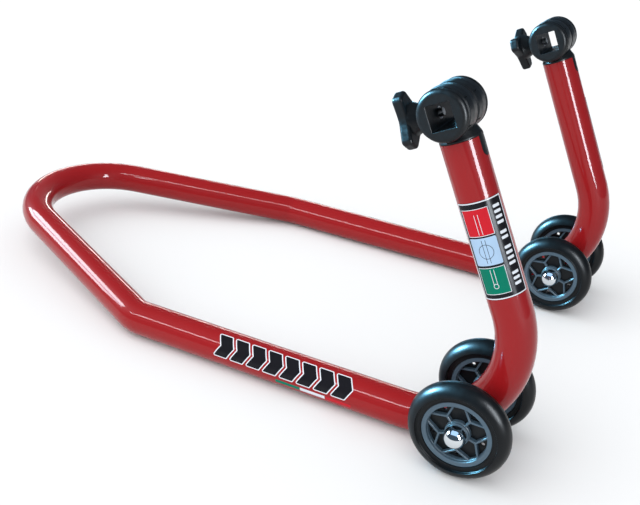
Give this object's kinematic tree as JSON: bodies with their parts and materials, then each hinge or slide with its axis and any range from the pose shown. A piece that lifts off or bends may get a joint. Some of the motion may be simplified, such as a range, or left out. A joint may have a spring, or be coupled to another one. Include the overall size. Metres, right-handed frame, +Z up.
{
  "type": "paddock stand",
  "caption": "Rear paddock stand of bent red tube with a loop handle, small wheels under leaning uprights, and screw-clamped heads that hold square support bars.",
  "frame": {"origin": "on the ground, under the middle of the stand's box", "axes": "+X from the handle towards the wheels, +Y to the left side, +Z up"},
  "size_m": [0.7299, 0.488, 0.3494],
  "materials": {
    "red_powder_coat": "gloss powder coat",
    "black_plastic": "satin moulded nylon",
    "tyre": "satin solid tyre",
    "rim_plastic": "satin blue-grey moulded plastic",
    "chrome": "polished",
    "zinc_steel": "zinc plated",
    "bush": "natural acetal",
    "label": "printed vinyl film",
    "label_white": "printed vinyl film",
    "label_red": "printed vinyl film",
    "label_green": "printed vinyl film"
  },
  "bodies": {
    "frame": {"frame_tube": "red_powder_coat", "axle_right": "zinc_steel", "axle_sleeve_right": "red_powder_coat", "axle_washer_right_outer": "zinc_steel", "axle_cap_right_outer": "chrome", "axle_washer_right_inner": "zinc_steel", "axle_cap_right_inner": "chrome", "head_right": "black_plastic", "head_insert_right": "zinc_steel", "upright_label_right": "label", "arm_graphic_right": "label", "axle_left": "zinc_steel", "axle_sleeve_left": "red_powder_coat", "axle_washer_left_outer": "zinc_steel", "axle_cap_left_outer": "chrome", "axle_washer_left_inner": "zinc_steel", "axle_cap_left_inner": "chrome", "head_left": "black_plastic", "head_insert_left": "zinc_steel", "upright_label_left": "label", "arm_graphic_left": "label"},
    "wheel_right_outer": {"tyre_right_outer": "tyre", "rim_right_outer": "rim_plastic", "wheel_web_right_outer": "black_plastic", "bush_right_outer_outer_end": "bush", "bush_right_outer_inner_end": "bush"},
    "wheel_right_inner": {"tyre_right_inner": "tyre", "rim_right_inner": "rim_plastic", "wheel_web_right_inner": "black_plastic", "bush_right_inner_outer_end": "bush", "bush_right_inner_inner_end": "bush"},
    "clamp_stud_right": {"knob_stud_right": "zinc_steel"},
    "clamp_knob_right": {"knob_right": "black_plastic"},
    "wheel_left_outer": {"tyre_left_outer": "tyre", "rim_left_outer": "rim_plastic", "wheel_web_left_outer": "black_plastic", "bush_left_outer_outer_end": "bush", "bush_left_outer_inner_end": "bush"},
    "wheel_left_inner": {"tyre_left_inner": "tyre", "rim_left_inner": "rim_plastic", "wheel_web_left_inner": "black_plastic", "bush_left_inner_outer_end": "bush", "bush_left_inner_inner_end": "bush"},
    "clamp_stud_left": {"knob_stud_left": "zinc_steel"},
    "clamp_knob_left": {"knob_left": "black_plastic"}
  },
  "joints": [
    {"name": "wheel_right_outer_spin", "type": "hinge", "parent": "frame", "child": "wheel_right_outer", "pos_m": [0.31602, -0.2216, 0.049], "axis": [0, 1, 0], "continuous": true},
    {"name": "wheel_right_inner_spin", "type": "hinge", "parent": "frame", "child": "wheel_right_inner", "pos_m": [0.31602, -0.1384, 0.049], "axis": [0, 1, 0], "continuous": true},
    {"name": "clamp_right_travel", "type": "slide", "parent": "frame", "child": "clamp_stud_right", "axis": [0.9026, 0, 0.4305], "range_m": [-0.00625, 0.0025]},
    {"name": "clamp_right_turn", "type": "hinge", "parent": "clamp_stud_right", "child": "clamp_knob_right", "pos_m": [0.25559, -0.18, 0.32643], "axis": [0.9026, 0, 0.4305], "range_deg": [-1800, 720]},
    {"name": "wheel_left_outer_spin", "type": "hinge", "parent": "frame", "child": "wheel_left_outer", "pos_m": [0.31602, 0.2216, 0.049], "axis": [0, 1, 0], "continuous": true},
    {"name": "wheel_left_inner_spin", "type": "hinge", "parent": "frame", "child": "wheel_left_inner", "pos_m": [0.31602, 0.1384, 0.049], "axis": [0, 1, 0], "continuous": true},
    {"name": "clamp_left_travel", "type": "slide", "parent": "frame", "child": "clamp_stud_left", "axis": [0.9026, 0, 0.4305], "range_m": [-0.00625, 0.0025]},
    {"name": "clamp_left_turn", "type": "hinge", "parent": "clamp_stud_left", "child": "clamp_knob_left", "pos_m": [0.25559, 0.18, 0.32643], "axis": [0.9026, 0, 0.4305], "range_deg": [-1800, 720]}
  ],
  "couplings": [
    {"joint": "clamp_right_travel", "follows": "clamp_right_turn", "m_per_rad": 0.00019894},
    {"joint": "clamp_left_travel", "follows": "clamp_left_turn", "m_per_rad": 0.00019894}
  ]
}
